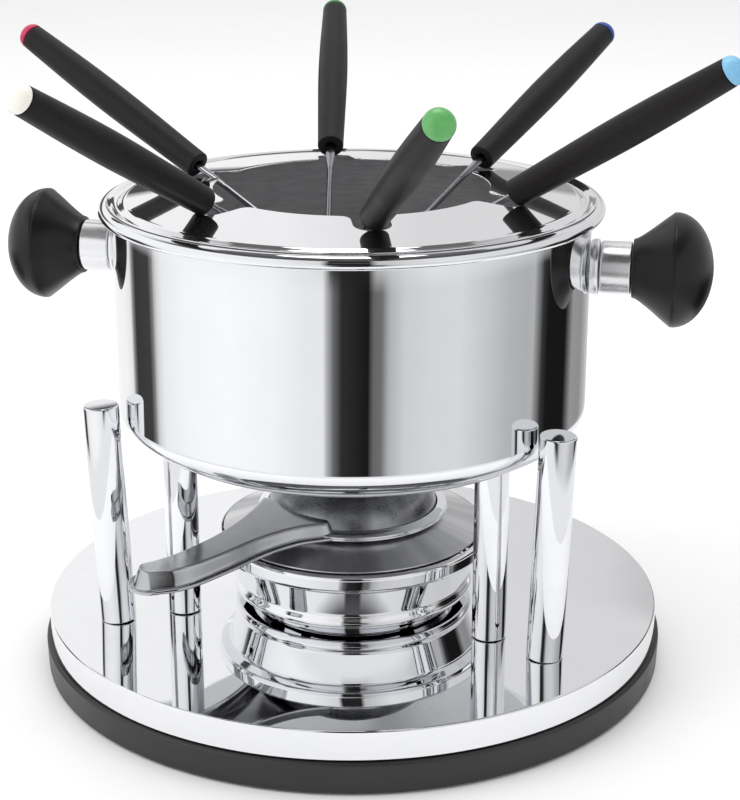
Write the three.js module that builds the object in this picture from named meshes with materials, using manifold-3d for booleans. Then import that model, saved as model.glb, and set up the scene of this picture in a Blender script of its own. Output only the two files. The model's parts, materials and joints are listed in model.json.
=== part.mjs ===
// Fondue pot set: a round two-layer base with six polished posts, a spirit burner with a regulator,
// a steel pot with two knob handles, a fork ring and six forks.
// Millimetres, +Z up. The origin is the centre of the anti-slip pad, on the table.
import * as THREE from "three";
import * as BufferGeometryUtils from "three/addons/utils/BufferGeometryUtils.js";
import Module from "manifold-3d";

const wasm = await Module();
wasm.setup();

// Driving dimensions
const GAP = 0.3; // clearance between neighbouring pieces
const FINE = 40; // sides of the large round pieces
const MEDIUM = 24;
const SMALL = 14;
const DRILL = 8; // sides of a drilled hole and of a screw

const PAD = { radius: 112, height: 2 };
const PLATE = { radius: 122.5, bottom: 0.6, top: 12.6, floor: 4, wall: 5.5 };
const COVER = { radius: 120.7, top: 24.4, sheet: 1.2, edge: 2.2 };
const OUTER_POST = { radius: 6.8, foot: 95.5, head: 98.5, top: 112 };
const INNER_POST = { radius: 6.5, foot: 69.3, head: 69.3, top: 93 };
const POST_AZIMUTHS = [-162, -42, 78];
const SCREW = { head: 4.5, headHeight: 2.2, shank: 2, reach: 10 };
const SCREW_HOLE = 2.9;
const POST_HOLE = 3.4;

const POT = { radius: 90, sheet: 1.2, bottom: 95.9, corner: 10, bead: 2.6, beadRadius: 92.3, beadHeight: 181.6 };
const POT_DISC = { radius: 79, height: 2.3 };
const HANDLE = { azimuth: -10.6, height: 161, boss: 10.5, bossEnd: 93.5, sleeve: 9.8, sleeveEnd: 105.4, stud: 2.5 };
const KNOB = { neck: 11.2, widest: 21.3, widestAt: 120.8, end: 135.3 };

const RING = { opening: 52.3, slotHalf: 6.8, slotEnd: 61.5, fillet: 4.5, sheet: 0.8 };
const NOTCH_START = -83.3; // azimuth of the front notch
const NOTCH_STEP = 60;

const CUP = { foot: 40, bottom: 24.7, lip: 47.4, wall: 50, rim: 54.3, rimTop: 52, sheet: 1.2 };
const REGULATOR = { inner: 33.6, outer: 37.6, bottom: 58.8, top: 61.4 };
const LEVER = { bottom: 59.2, height: 5.2, drop: 5.4, reach: 99, flange: 3, sheet: 1.2 };
const LEVER_FRONT = [[-7.5, -36.5], [-20, -40.5], [-32, -48.5], [-44, -60.5], [-56, -71.5], [-63, -75.6]];
const LEVER_BACK = [[-74, -59], [-66, -52.5], [-57, -42], [-49, -30], [-43, -17], [-38, -3]];
const LEVER_END = { x: -72, y: -68, radius: 9.6, from: -85, to: -235 }; // round tip, angles in degrees

const FORK = { lift: 3.8, shaft: 1.15, shaftLength: 150, tang: 30, end: 100 };
const GRIP = { low: 5.15, belly: 6.3, high: 5.5, length: 95 };
const TINES = { length: 30, spread: 3.4, thickness: 1.6 };
// Each fork lies in one notch: turn is its skew to the notch's own azimuth, rise its slope in degrees,
// side and reach the sideways and outward place of its handle's lower end, in millimetres.
const FORKS = [
  { cap: "#57b560", turn: 5.6, rise: 28.7, side: 0.3, reach: 64.8 },
  { cap: "#7cc0ea", turn: -12.5, rise: 32, side: -0.7, reach: 64.8 },
  { cap: "#1f2f7a", turn: 14, rise: 24.6, side: 0.8, reach: 64.3 },
  { cap: "#6f8a2e", turn: -7.5, rise: 27.9, side: 1.2, reach: 64.8 },
  { cap: "#b0245a", turn: -11.8, rise: 26.8, side: 0.1, reach: 64.9 },
  { cap: "#ece9e2", turn: 15.7, rise: 29.4, side: 0, reach: 65.3 },
];

const FINISHES = {
  mirrorSteel: { color: "#d9dcdf", roughness: 0.08, metalness: 1 },
  brushedSteel: { color: "#b9bcc0", roughness: 0.35, metalness: 1 },
  blackMoulding: { color: "#1b1b1d", roughness: 0.45, metalness: 0 },
  rubber: { color: "#242424", roughness: 0.9, metalness: 0 },
  fibreBoard: { color: "#8a6c4a", roughness: 0.9, metalness: 0 },
  wadding: { color: "#e4e0d6", roughness: 1, metalness: 0 },
  blackKnob: { color: "#141415", roughness: 0.35, metalness: 0 },
  blackGrip: { color: "#2a2829", roughness: 0.6, metalness: 0 },
};

const radians = THREE.MathUtils.degToRad;
const model = new THREE.Group();

function finish(name, colour) {
  return new THREE.MeshStandardMaterial({ ...FINISHES[name], ...(colour ? { color: colour } : {}) });
}

function piece(parent, name, geometry, material) {
  const mesh = new THREE.Mesh(geometry, material);
  mesh.name = name;
  parent.add(mesh);
  return mesh;
}

// Points of an arc in the (radius, height) plane, from one angle to another in degrees.
function arc(x, y, radius, from, to, steps) {
  return Array.from({ length: steps + 1 }, (_, i) => {
    const angle = radians(from + ((to - from) * i) / steps);
    return [x + radius * Math.cos(angle), y + radius * Math.sin(angle)];
  });
}

// A body of revolution about Z from a profile that runs anticlockwise in the (radius, height) plane.
function turned(profile, sides) {
  const points = profile.map(([radius, height]) => new THREE.Vector2(radius, height));
  return new THREE.LatheGeometry(points, sides).rotateX(Math.PI / 2);
}

// A closed loop of profile points, for a body that is open along its axis.
function closed(profile) {
  return [...profile, profile[0]];
}

function rod(radius, bottom, top, sides, chamfer = 0) {
  const profile = [
    [0, bottom],
    [radius - chamfer, bottom],
    [radius, bottom + chamfer],
    [radius, top - chamfer],
    [radius - chamfer, top],
    [0, top],
  ];
  const kept = chamfer ? profile : [profile[0], profile[1], profile[4], profile[5]];
  return turned(kept, sides);
}

function toSolid(geometry) {
  const bare = geometry.clone();
  bare.deleteAttribute("normal");
  bare.deleteAttribute("uv");
  const merged = BufferGeometryUtils.mergeVertices(bare, 1e-4);
  const mesh = new wasm.Mesh({
    numProp: 3,
    vertProperties: new Float32Array(merged.attributes.position.array),
    triVerts: new Uint32Array(merged.index.array),
  });
  return new wasm.Manifold(mesh);
}

function toGeometry(solid) {
  const mesh = solid.getMesh();
  const geometry = new THREE.BufferGeometry();
  geometry.setAttribute("position", new THREE.BufferAttribute(mesh.vertProperties, 3));
  geometry.setIndex(new THREE.BufferAttribute(mesh.triVerts, 1));
  geometry.computeVertexNormals();
  return geometry;
}

function cut(geometry, tools) {
  return toGeometry(tools.reduce((body, tool) => body.subtract(toSolid(tool)), toSolid(geometry)));
}

function join(geometries) {
  return toGeometry(geometries.map(toSolid).reduce((body, other) => body.add(other)));
}

// A group whose own +Z points outward along an azimuth and a rise, with its origin at a point.
function aimed(point, azimuth, rise) {
  const group = new THREE.Group();
  const a = radians(azimuth);
  const e = radians(rise);
  const outward = new THREE.Vector3(Math.cos(e) * Math.cos(a), Math.cos(e) * Math.sin(a), Math.sin(e));
  const sideways = new THREE.Vector3(-Math.sin(a), Math.cos(a), 0);
  const upward = new THREE.Vector3().crossVectors(outward, sideways);
  group.quaternion.setFromRotationMatrix(new THREE.Matrix4().makeBasis(sideways, upward, outward));
  group.position.copy(point);
  model.add(group);
  return group;
}

function polar(radius, azimuth, height) {
  const a = radians(azimuth);
  return new THREE.Vector3(radius * Math.cos(a), radius * Math.sin(a), height);
}

// Base: anti-slip pad, moulded plate, board core and drawn steel cover, held together by the post screws.
function holesAt(radius, bottom, top) {
  return [OUTER_POST.foot, INNER_POST.foot].flatMap((foot) =>
    POST_AZIMUTHS.map((azimuth) => {
      const place = polar(foot, azimuth, 0);
      return rod(radius, bottom, top, DRILL).translate(place.x, place.y, 0);
    }),
  );
}

function buildBase() {
  const recess = PAD.height + GAP;
  const floorTop = recess + PLATE.floor;
  const plateProfile = [
    [0, recess],
    [PAD.radius + GAP, recess],
    [PAD.radius + GAP, PLATE.bottom],
    [PLATE.radius - 1.5, PLATE.bottom],
    [PLATE.radius, PLATE.bottom + 1.5],
    [PLATE.radius, PLATE.top - 1],
    [PLATE.radius - 1, PLATE.top],
    [PLATE.radius - PLATE.wall, PLATE.top],
    [PLATE.radius - PLATE.wall, floorTop],
    [0, floorTop],
  ];
  const coverBottom = PLATE.top + GAP;
  const inside = COVER.radius - COVER.sheet;
  const coverProfile = [
    [0, COVER.top - COVER.sheet],
    [inside - COVER.edge, COVER.top - COVER.sheet],
    [inside, COVER.top - COVER.sheet - COVER.edge],
    [inside, coverBottom],
    [COVER.radius, coverBottom],
    ...arc(COVER.radius - COVER.edge, COVER.top - COVER.edge, COVER.edge, 0, 90, 3),
    [0, COVER.top],
  ];
  const coreRadius = PLATE.radius - PLATE.wall - GAP;
  const coreTop = COVER.top - COVER.sheet - GAP;
  const headSink = recess + SCREW.headHeight + GAP;
  const plate = cut(turned(plateProfile, FINE), [
    ...holesAt(SCREW.head + GAP, recess - 1, headSink),
    ...holesAt(SCREW_HOLE, recess, floorTop + 1),
  ]);
  piece(model, "anti_slip_pad", rod(PAD.radius, 0, PAD.height, FINE), finish("rubber"));
  piece(model, "base_plate", plate, finish("blackMoulding"));
  const core = cut(rod(coreRadius, floorTop + GAP, coreTop, FINE), holesAt(SCREW_HOLE, floorTop, coreTop + 1));
  piece(model, "base_core", core, finish("fibreBoard"));
  const cover = cut(turned(coverProfile, FINE), holesAt(SCREW_HOLE, coreTop, COVER.top + 1));
  piece(model, "base_cover", cover, finish("mirrorSteel"));
}

// Posts: each leg is a tall outer post that steadies the pot and a short inner post that carries it.
function post(name, shape, azimuth) {
  const foot = polar(shape.foot, azimuth, COVER.top + GAP);
  const head = polar(shape.head, azimuth, shape.top);
  const length = head.distanceTo(foot);
  const lean = THREE.MathUtils.radToDeg(Math.acos((head.z - foot.z) / length));
  const stock = rod(shape.radius, 0, length, SMALL, 0.6);
  const drilled = cut(stock, [rod(POST_HOLE, -1, SCREW.reach + 1, DRILL)]);
  piece(aimed(foot, azimuth, 90 - lean), name, drilled, finish("mirrorSteel"));
  const headBottom = PAD.height + 2 * GAP;
  const shankTop = COVER.top + SCREW.reach;
  const screw = join([
    rod(SCREW.head, headBottom, headBottom + SCREW.headHeight - GAP, DRILL),
    rod(SCREW.shank, headBottom, shankTop, DRILL),
  ]);
  const centre = polar(shape.foot, azimuth, 0);
  piece(model, name + "_screw", screw.translate(centre.x, centre.y, 0), finish("brushedSteel"));
}

function buildPosts() {
  POST_AZIMUTHS.forEach((azimuth, i) => {
    post(`outer_post_${i + 1}`, OUTER_POST, azimuth);
    post(`inner_post_${i + 1}`, INNER_POST, azimuth);
  });
}

// Pot: drawn body with a rolled rim, and the heat-spreading disc under it.
function buildPot() {
  const inner = POT.radius - POT.sheet;
  const floor = POT.bottom + POT.sheet;
  const cornerCentre = POT.radius - POT.corner;
  const profile = [
    [0, POT.bottom],
    ...arc(cornerCentre, POT.bottom + POT.corner, POT.corner, -90, 0, 5),
    ...arc(POT.beadRadius, POT.beadHeight, POT.bead, -152, 150, 7),
    [inner, POT.beadHeight + 0.2],
    ...arc(cornerCentre, POT.bottom + POT.corner, POT.corner - POT.sheet, 0, -90, 4),
    [0, floor],
  ];
  piece(model, "pot_body", turned(profile, FINE), finish("mirrorSteel"));
  const discTop = POT.bottom - GAP;
  piece(model, "pot_base_disc", rod(POT_DISC.radius, discTop - POT_DISC.height, discTop, FINE), finish("brushedSteel"));
}

// Handles: boss, threaded stud, spacer sleeve and moulded knob, one set on each side of the pot.
function buildHandle(side, azimuth) {
  const group = aimed(new THREE.Vector3(0, 0, HANDLE.height), azimuth, 0);
  const bore = HANDLE.stud + 0.4;
  const bossStart = POT.radius + GAP;
  const sleeveStart = HANDLE.bossEnd + GAP;
  const neckStart = HANDLE.sleeveEnd + GAP;
  const studEnd = KNOB.widestAt;
  const tube = (outer, from, to) =>
    turned(closed([[bore, from], [outer, from], [outer, to], [bore, to]]), MEDIUM);
  piece(group, `${side}_handle_boss`, tube(HANDLE.boss, bossStart, HANDLE.bossEnd), finish("mirrorSteel"));
  piece(group, `${side}_handle_stud`, rod(HANDLE.stud, bossStart + 0.4, studEnd, DRILL), finish("brushedSteel"));
  piece(group, `${side}_handle_sleeve`, tube(HANDLE.sleeve, sleeveStart, HANDLE.sleeveEnd), finish("mirrorSteel"));
  const dome = KNOB.end - KNOB.widestAt;
  const domePoints = Array.from({ length: 6 }, (_, i) => {
    const angle = radians(18 * i);
    return [KNOB.widest * Math.cos(angle), KNOB.widestAt + dome * Math.sin(angle)];
  });
  domePoints[5][0] = 0;
  const knobProfile = [
    [0, studEnd + GAP],
    [bore, studEnd + GAP],
    [bore, neckStart],
    [KNOB.neck, neckStart],
    [KNOB.neck + 2.2, neckStart + 4],
    [KNOB.widest - 0.8, KNOB.widestAt - 2],
    ...domePoints,
  ];
  piece(group, `${side}_handle_knob`, turned(knobProfile, MEDIUM), finish("blackKnob"));
}

// Fork ring: a shallow cone with a lip on the pot's rim and an opening with six rounded notches.
const RING_SECTION = [
  [66, 186.9],
  [83, 184.6],
  [87, 182.95],
  [88.6, 183.35],
  [91.2, 184.95],
];
const RING_CENTRE_HEIGHT = 193.9; // height that the cone would reach on the axis

function ringHeight(radius) {
  const [coneRadius, coneHeight] = RING_SECTION[0];
  return RING_CENTRE_HEIGHT - ((RING_CENTRE_HEIGHT - coneHeight) * radius) / coneRadius;
}

// The opening is a circle broken by six round-ended notches whose mouths are rounded off.
function openingOutline() {
  const { opening, slotHalf, slotEnd, fillet } = RING;
  const across = slotHalf + fillet;
  const along = Math.sqrt((opening + fillet) ** 2 - across ** 2);
  const mouth = THREE.MathUtils.radToDeg(Math.asin(across / (opening + fillet)));
  const sector = [
    ...arc(along, -across, fillet, 180 - mouth, 90, 3),
    ...arc(slotEnd, 0, slotHalf, -90, 90, 6),
    ...arc(along, across, fillet, -90, mouth - 180, 3),
    ...arc(0, 0, opening, mouth, NOTCH_STEP - mouth, 5).slice(1, -1),
  ];
  return Array.from({ length: 360 / NOTCH_STEP }, (_, i) => {
    const turn = radians(NOTCH_START + NOTCH_STEP * i);
    return sector.map(([x, y]) => new THREE.Vector2(x, y).rotateAround(new THREE.Vector2(), turn));
  }).flat();
}

function buildRing() {
  const profile = [
    [0, RING_CENTRE_HEIGHT - RING.sheet],
    ...RING_SECTION.map(([radius, height]) => [radius, height - RING.sheet]),
    ...[...RING_SECTION].reverse(),
    [0, RING_CENTRE_HEIGHT],
  ];
  const opening = new THREE.ExtrudeGeometry(new THREE.Shape(openingOutline()), { depth: 30, bevelEnabled: false });
  opening.translate(0, 0, RING_CENTRE_HEIGHT - 20);
  piece(model, "fork_ring", cut(turned(profile, FINE), [opening]), finish("mirrorSteel"));
}

// Forks: a steel shaft with two tines, a moulded handle and a coloured end cap. Local +Z runs out
// along the fork, with its origin at the handle's lower end.
function tines() {
  const half = TINES.spread;
  const slot = half - 1.8;
  const outline = [
    [-1.2, -4],
    [-half, 3],
    [-half, TINES.length - 5],
    [-slot - 0.4, TINES.length],
    [-slot, TINES.length - 5],
    [-slot, 7],
    [slot, 7],
    [slot, TINES.length - 5],
    [slot + 0.4, TINES.length],
    [half, TINES.length - 5],
    [half, 3],
    [1.2, -4],
  ];
  const shape = new THREE.Shape(outline.map(([x, y]) => new THREE.Vector2(x, y)));
  const plate = new THREE.ExtrudeGeometry(shape, { depth: TINES.thickness, bevelEnabled: false });
  plate.translate(0, 0, -TINES.thickness / 2);
  return plate.rotateX(-Math.PI / 2).translate(0, 0, TINES.length - FORK.shaftLength);
}

function buildFork(index, { cap, turn, rise, side, reach }) {
  const notch = NOTCH_START + NOTCH_STEP * index;
  const across = polar(side, notch + 90, 0);
  const start = polar(reach, notch, ringHeight(reach) + FORK.lift).add(across);
  const group = aimed(start, notch + turn, rise);
  const name = `fork_${index + 1}`;
  const ferrule = turned([[0, -14], [FORK.shaft, -14], [1.8, -2], [1.8, 1], [0, 1]], 10);
  const shaft = rod(FORK.shaft, 4 - FORK.shaftLength + TINES.length, FORK.tang, 10);
  piece(group, name + "_shaft", join([shaft, ferrule, tines()]), finish("mirrorSteel"));
  const bore = FORK.shaft + 1;
  const gripProfile = [
    [0, FORK.tang + 1],
    [bore, FORK.tang + 1],
    [bore, 0],
    [GRIP.low - 1.4, 0],
    [GRIP.low - 0.4, 0.6],
    [GRIP.low, 2],
    [(GRIP.low + GRIP.belly) / 2 + 0.2, GRIP.length * 0.25],
    [GRIP.belly, GRIP.length * 0.55],
    [(GRIP.belly + GRIP.high) / 2 + 0.1, GRIP.length * 0.8],
    [GRIP.high, GRIP.length],
    [0, GRIP.length],
  ];
  piece(group, name + "_handle", turned(gripProfile, SMALL), finish("blackGrip"));
  const capStart = GRIP.length + GAP;
  const capDome = Array.from({ length: 5 }, (_, i) => {
    const angle = radians(22.5 * i);
    return [GRIP.high * Math.cos(angle), capStart + (FORK.end - capStart) * Math.sin(angle)];
  });
  capDome[4][0] = 0;
  const capProfile = [[0, capStart], ...capDome];
  piece(group, name + "_cap", turned(capProfile, SMALL), finish("blackGrip", cap));
}

// Burner: cup with wadding and a wire mesh, its cover, and the regulator: dome, ring and lever.
function buildBurner() {
  const { foot, bottom, lip, wall, rim, rimTop, sheet } = CUP;
  const cupProfile = [
    [0, bottom],
    [foot, bottom],
    [foot, 27],
    [lip - 0.8, 27.4],
    ...arc(lip - 1.6, 29.6, 2, -60, 60, 2),
    [46.4, 32.6],
    [wall, 44.8],
    ...arc(rim - 2.8, 48.2, 3, -50, 90, 4),
    [rim - 2.8, rimTop - sheet],
    [wall - sheet - 0.6, 46],
    [46.4 - sheet, 32.6],
    [foot - sheet, 28.4],
    [0, 28.4],
  ];
  piece(model, "burner_cup", turned(cupProfile, FINE), finish("mirrorSteel"));
  const coverProfile = closed([
    [33.4, 57.3],
    [51.3, 51.6],
    [51.3, 52.7],
    [33.4, 58.4],
  ]);
  piece(model, "burner_cover", turned(coverProfile, FINE), finish("brushedSteel"));
  const domeLine = [
    [33.2, 58.8],
    [33.2, 61.2],
    [32.4, 64],
    [30.2, 68],
    [26.4, 71.4],
    [22.4, 73.6],
    [20.2, 74.2],
  ];
  const domeProfile = closed([...domeLine, ...domeLine.map(([r, z]) => [r - 1.2, z - 0.6]).reverse()]);
  piece(model, "regulator_dome", turned(domeProfile, MEDIUM), finish("brushedSteel"));
  piece(model, "burner_wadding", rod(27, 28.8, 66.4, MEDIUM), finish("wadding"));
  piece(model, "burner_mesh", rod(26, 66.8, 67.6, MEDIUM), finish("brushedSteel"));

  const { inner, outer, bottom: ringBottom, top: ringTop } = REGULATOR;
  const middle = (ringBottom + ringTop) / 2;
  const ringProfile = closed([
    [inner, ringBottom],
    [outer - 0.6, ringBottom],
    [outer, ringBottom + 0.6],
    [outer - 0.5, middle],
    [outer, ringTop - 0.6],
    [outer - 0.6, ringTop],
    [inner, ringTop],
  ]);
  piece(model, "regulator_ring", turned(ringProfile, FINE), finish("mirrorSteel"));
  buildLever();
}

// Lever: an arm pressed in one with the ring, hollow underneath, with a narrow flange along its edge.
// It widens where it leaves the ring and slopes down to its round tip.
function buildLever() {
  const { bottom, height, drop, reach, flange, sheet } = LEVER;
  const tip = arc(LEVER_END.x, LEVER_END.y, LEVER_END.radius, LEVER_END.from, LEVER_END.to, 10);
  const edge = [...LEVER_FRONT, ...tip, ...LEVER_BACK].reverse();
  const plan = new wasm.CrossSection([edge]);
  const raised = plan.offset(-flange, "Round", 2, 16).extrude(height);
  const hollow = plan.offset(-flange - sheet, "Round", 2, 16).extrude(height - sheet + 1).translate([0, 0, -1]);
  const pressing = plan.extrude(sheet).add(raised).subtract(hollow);
  const sloped = pressing.translate([0, 0, bottom]).warp((vertex) => {
    vertex[2] -= (drop * Math.hypot(vertex[0], vertex[1])) / reach - (drop * REGULATOR.outer) / reach;
  });
  const ringClearance = toSolid(rod(REGULATOR.outer + GAP, bottom - 20, bottom + 20, FINE));
  piece(model, "regulator_lever", toGeometry(sloped.subtract(ringClearance)), finish("mirrorSteel"));
}

buildBase();
buildPosts();
buildPot();
buildHandle("right", HANDLE.azimuth);
buildHandle("left", HANDLE.azimuth + 180);
buildRing();
FORKS.forEach((fork, i) => buildFork(i, fork));
buildBurner();

export default model;
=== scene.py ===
"""Fondue pot set: the pieces and finishes that show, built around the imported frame.

Shapes are drawn in millimetres, in the frame's own axes, and become metres in make_piece().
"""

import json
import math

import bpy
import numpy as np
from mathutils import Matrix, Vector


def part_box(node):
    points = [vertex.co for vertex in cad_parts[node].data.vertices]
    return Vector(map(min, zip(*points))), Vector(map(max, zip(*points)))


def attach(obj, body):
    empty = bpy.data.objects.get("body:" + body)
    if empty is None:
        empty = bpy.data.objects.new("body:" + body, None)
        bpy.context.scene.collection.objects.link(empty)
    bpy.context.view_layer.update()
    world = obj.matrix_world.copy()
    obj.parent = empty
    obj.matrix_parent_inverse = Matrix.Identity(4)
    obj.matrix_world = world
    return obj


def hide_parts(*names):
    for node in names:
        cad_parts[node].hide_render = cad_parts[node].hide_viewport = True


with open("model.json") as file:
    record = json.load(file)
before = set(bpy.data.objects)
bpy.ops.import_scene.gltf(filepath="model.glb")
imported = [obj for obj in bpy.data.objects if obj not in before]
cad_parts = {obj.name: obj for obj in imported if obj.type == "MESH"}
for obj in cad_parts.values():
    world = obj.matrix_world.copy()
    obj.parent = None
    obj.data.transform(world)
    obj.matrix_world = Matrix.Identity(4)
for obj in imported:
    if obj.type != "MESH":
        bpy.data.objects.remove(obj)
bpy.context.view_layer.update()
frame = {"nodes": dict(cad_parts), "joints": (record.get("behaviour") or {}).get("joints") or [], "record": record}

MM = 0.001

# Driving dimensions, in millimetres
COVER_RADIUS, COVER_BOTTOM, COVER_TOP, COVER_SHEET = 120.7, 12.9, 24.4, 1.2
PLATE_RADIUS, PLATE_TOP = 122.5, 12.6
POT_RADIUS, POT_BOTTOM, POT_SHEET, POT_CORNER = 90.0, 95.9, 1.2, 10.0
BEAD_CENTRE, BEAD_HEIGHT, BEAD = 92.3, 181.6, 2.6
RING_OPENING, NOTCH_HALF, NOTCH_END, NOTCH_FILLET = 52.3, 6.8, 61.5, 4.5
NOTCH_START, NOTCHES = -83.3, 6
RING_CREST, RING_SLOPE, RING_SHEET = 193.9, 7.0 / 66.0, 0.8
GRIP_LENGTH, GRIP_FOOT, CAP_FIT, CAP_RADIUS, CAP_RISE = 95.0, 4.75, 0.3, 5.2, 4.3
TINE_REACH = 120.0  # from the handle's foot to where the tines' outline starts
LEVER_BOTTOM, LEVER_HEIGHT, LEVER_DROP, LEVER_REACH = 59.2, 5.2, 5.4, 99.0
LEVER_FRONT = [(-5.2, -31.0), (-7.5, -36.5), (-20, -40.5), (-32, -48.5), (-44, -60.5), (-56, -71.5),
               (-63, -75.6)]
LEVER_BACK = [(-31.8, -2.4), (-38, -3), (-43, -17), (-49, -30), (-57, -42), (-66, -52.5), (-74, -59)]
LEVER_SHEET, LEVER_HEM, LEVER_FULL_WIDTH = 0.9, 1.1, 16
LEVER_END = (-72.0, -68.0, 9.6, -85.0, 125.0)  # round tip: centre, radius and where its two sides start
MESH_RADIUS, MESH_PITCH, MESH_WIRE, MESH_HEIGHT = 26.0, 2.0, 0.26, 67.2
REGULATOR_RADIUS = 37.6
END_DEPTH = 0.15  # corner points this close to a piece's end belong to it
CROWN = 192  # sides of the large round pieces
ROUND = 72   # sides of the small round pieces


# ---------------------------------------------------------------- profiles and meshes

def arc(x, y, radius, start, end, steps):
    """Points of an arc in the (radius, height) plane, between two angles in degrees."""
    angles = np.radians(np.linspace(start, end, steps + 1))
    return [(x + radius * math.cos(a), y + radius * math.sin(a)) for a in angles]


def softened(points, default=0.3, steps=4):
    """A profile with each corner rounded off; a third number in a point is its own radius."""
    result = []
    last = len(points) - 1
    for i, point in enumerate(points):
        here = np.array(point[:2], float)
        radius = point[2] if len(point) > 2 else default
        if i in (0, last) or radius == 0:
            result.append(tuple(here))
            continue
        back = np.array(points[i - 1][:2], float) - here
        ahead = np.array(points[i + 1][:2], float) - here
        back_length, ahead_length = np.linalg.norm(back), np.linalg.norm(ahead)
        back, ahead = back / back_length, ahead / ahead_length
        half = math.acos(np.clip(back @ ahead, -1, 1)) / 2
        if half > 1.55:
            result.append(tuple(here))
            continue
        reach = min(radius / math.tan(half), 0.48 * back_length, 0.48 * ahead_length)
        radius = reach * math.tan(half)
        centre = here + (back + ahead) / np.linalg.norm(back + ahead) * radius / math.sin(half)
        first, second = here + back * reach - centre, here + ahead * reach - centre
        sweep = math.pi - 2 * half
        for k in range(steps + 1):
            t = k / steps
            mix = (math.sin((1 - t) * sweep) * first + math.sin(t * sweep) * second) / math.sin(sweep)
            result.append(tuple(centre + mix))
    return result


def flowing(points, per_span=6):
    """A smooth curve through the given profile points."""
    p = np.array([points[0], *points, points[-1]], float)
    result = []
    for i in range(1, len(p) - 2):
        for t in np.arange(per_span) / per_span:
            result.append(tuple(0.5 * (2 * p[i] + (p[i + 1] - p[i - 1]) * t
                                       + (2 * p[i - 1] - 5 * p[i] + 4 * p[i + 1] - p[i + 2]) * t**2
                                       + (3 * p[i] - p[i - 1] - 3 * p[i + 1] + p[i + 2]) * t**3)))
    result.append(tuple(p[-2]))
    return result


def turned(profile, sides=ROUND):
    """Vertices and faces of a body turned about Z; the profile ends on the axis or is a closed loop."""
    closed_loop = profile[0][0] > 1e-6
    steps = np.arange(sides) * 2 * math.pi / sides
    verts, rows = [], []
    for radius, height in profile:
        if radius < 1e-6:
            rows.append([len(verts)] * sides)
            verts.append((0.0, 0.0, height))
        else:
            rows.append(list(range(len(verts), len(verts) + sides)))
            verts.extend((radius * math.cos(a), radius * math.sin(a), height) for a in steps)
    faces = []
    spans = len(rows) if closed_loop else len(rows) - 1
    for i in range(spans):
        low, high = rows[i], rows[(i + 1) % len(rows)]
        for k in range(sides):
            n = (k + 1) % sides
            corners = [low[k], low[n], high[n], high[k]]
            face = [c for j, c in enumerate(corners) if c != corners[j - 1]]
            faces.append(face)
    return np.array(verts), faces


def grid_loops(loops, capped=False):
    """Vertices and faces of a skin over closed loops of equal length, capped or joined end to end."""
    count, size = len(loops), len(loops[0])
    verts = np.array([p for loop in loops for p in loop], float)
    faces = []
    for i in range(count - 1 if capped else count):
        j = (i + 1) % count
        for k in range(size):
            n = (k + 1) % size
            faces.append([i * size + k, i * size + n, j * size + n, j * size + k])
    if capped:
        faces.append(list(range(size))[::-1])
        faces.append([(count - 1) * size + k for k in range(size)])
    return verts, faces


def even_shading(mesh):
    """Smooth shading whose normals lean to the larger faces, so flats stay flat up to their edges."""
    count = len(mesh.vertices)
    mesh.shade_smooth()
    mesh.calc_loop_triangles()
    co = np.zeros(count * 3)
    mesh.vertices.foreach_get("co", co)
    co = co.reshape(-1, 3)
    tris = np.zeros(len(mesh.loop_triangles) * 3, int)
    mesh.loop_triangles.foreach_get("vertices", tris)
    tris = tris.reshape(-1, 3)
    area = np.cross(co[tris[:, 1]] - co[tris[:, 0]], co[tris[:, 2]] - co[tris[:, 0]])
    normals = np.zeros((count, 3))
    for k in range(3):
        np.add.at(normals, tris[:, k], area)
    lengths = np.linalg.norm(normals, axis=1)
    normals /= np.where(lengths > 0, lengths, 1)[:, None]
    mesh.normals_split_custom_set_from_vertices(normals.tolist())


def make_piece(name, shape, material, place=None):
    """An object at the origin whose mesh holds the shape, in metres, where place puts it."""
    verts, faces = shape
    verts = np.asarray(verts, float)
    if place is not None:
        turn = np.array(place)
        verts = verts @ turn[:3, :3].T + turn[:3, 3]
    mesh = bpy.data.meshes.new(name)
    mesh.from_pydata((verts * MM).tolist(), [], faces)
    if signed_volume(mesh) < 0:
        mesh.flip_normals()
    mesh.materials.append(material)
    even_shading(mesh)
    piece = bpy.data.objects.new(name, mesh)
    bpy.context.scene.collection.objects.link(piece)
    return piece


def signed_volume(mesh):
    """Signed volume of a closed mesh: below zero when its faces point inwards."""
    mesh.calc_loop_triangles()
    co = np.array([v.co for v in mesh.vertices])
    tris = np.array([t.vertices for t in mesh.loop_triangles])
    return float(np.einsum("ij,ij->i", co[tris[:, 0]], np.cross(co[tris[:, 1]], co[tris[:, 2]])).sum() / 6)


def joined(*shapes):
    """Several shapes as one list of vertices and faces."""
    verts, faces, start = [], [], 0
    for more_verts, more_faces in shapes:
        verts.append(np.asarray(more_verts, float))
        faces.extend([[start + v for v in face] for face in more_faces])
        start += len(more_verts)
    return np.vstack(verts), faces


def fit(piece, body, slot, *nodes):
    """Says which body a piece moves with and which plain solids it stands for; its slot is not used."""
    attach(piece, body)
    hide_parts(*nodes)
    return piece


def frame_points(node):
    """The separate corner points of a frame node, in millimetres."""
    co = np.array([v.co for v in frame["nodes"][node].data.vertices]) / MM
    return np.unique(np.round(co, 3), axis=0)


def long_axis(node):
    """The direction a slim frame node runs in, upwards."""
    points = frame_points(node)
    axis = np.linalg.svd(points - points.mean(0), full_matrices=False)[2][0]
    return axis * np.sign(axis[2])


def end_centres(node, axis):
    """Centres of a frame node's two ends along an axis."""
    points = frame_points(node)
    along = points @ np.array(axis)
    low, high = along.min(), along.max()
    return points[along < low + END_DEPTH].mean(0), points[along > high - END_DEPTH].mean(0)


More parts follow.
